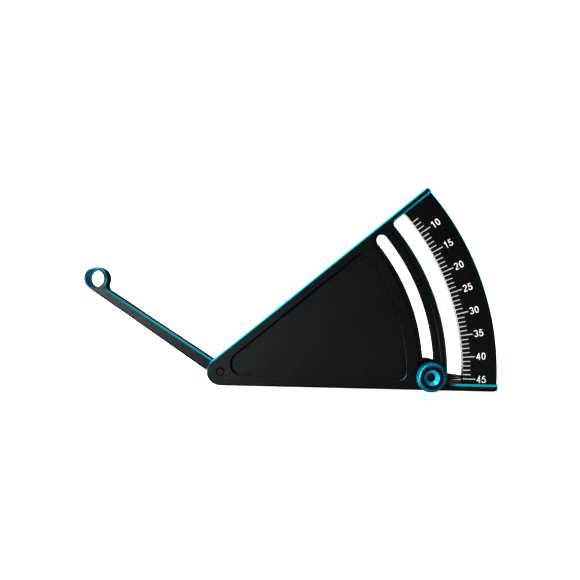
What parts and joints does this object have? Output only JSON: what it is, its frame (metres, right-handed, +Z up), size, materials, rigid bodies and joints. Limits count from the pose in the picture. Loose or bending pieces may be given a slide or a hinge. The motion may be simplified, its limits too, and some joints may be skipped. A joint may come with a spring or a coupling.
{
  "type": "ride height gauge",
  "caption": "Sector-shaped bench gauge that stands on its edge, with a pivoting ring-ended lever, an engraved arc scale, a curved slot and a knurled locking knob.",
  "frame": {"origin": "on the base, half way along it (the base runs from the pivot side to the scale side) and half way through the foot's depth", "axes": "+Z up from the base, +X from the ring to the scale, and -Y out of the graduated face; stored at the highest reading, with the lever on its lower stop"},
  "size_m": [0.1632, 0.0166, 0.0789],
  "materials": {
    "black_anodised": "black anodised, machined blue chamfers",
    "black_anodised_lever": "black anodised, machined blue chamfers",
    "blue_anodised": "blue anodised with a black face",
    "black_steel": "black oxide",
    "spring_steel": "bright",
    "bush_plastic": "natural"
  },
  "bodies": {
    "gauge_body": {"body_plate": "black_anodised", "pivot_screw": "black_steel", "spring_washer": "spring_steel"},
    "lever_arm": {"lever": "black_anodised_lever", "front_bush": "bush_plastic", "rear_bush": "bush_plastic", "lock_stud": "black_steel", "slot_bush": "bush_plastic"},
    "clamp": {"clamp_washer": "spring_steel"},
    "knob": {"lock_knob": "blue_anodised"}
  },
  "joints": [
    {"name": "lever_turn", "type": "hinge", "parent": "gauge_body", "child": "lever_arm", "pos_m": [-0.0539, 0, 0.0054], "axis": [0, -1, 0], "range_deg": [0, 40.2]},
    {"name": "clamp_lift", "type": "slide", "parent": "lever_arm", "child": "clamp", "axis": [0, -1, 0], "range_m": [0, 0.0005]},
    {"name": "knob_turn", "type": "hinge", "parent": "clamp", "child": "knob", "pos_m": [0.0272, 0, 0.0054], "axis": [0, -1, 0], "range_deg": [0, 360]}
  ],
  "couplings": [
    {"joint": "knob_turn", "follows": "clamp_lift", "rad_per_m": 12566}
  ]
}
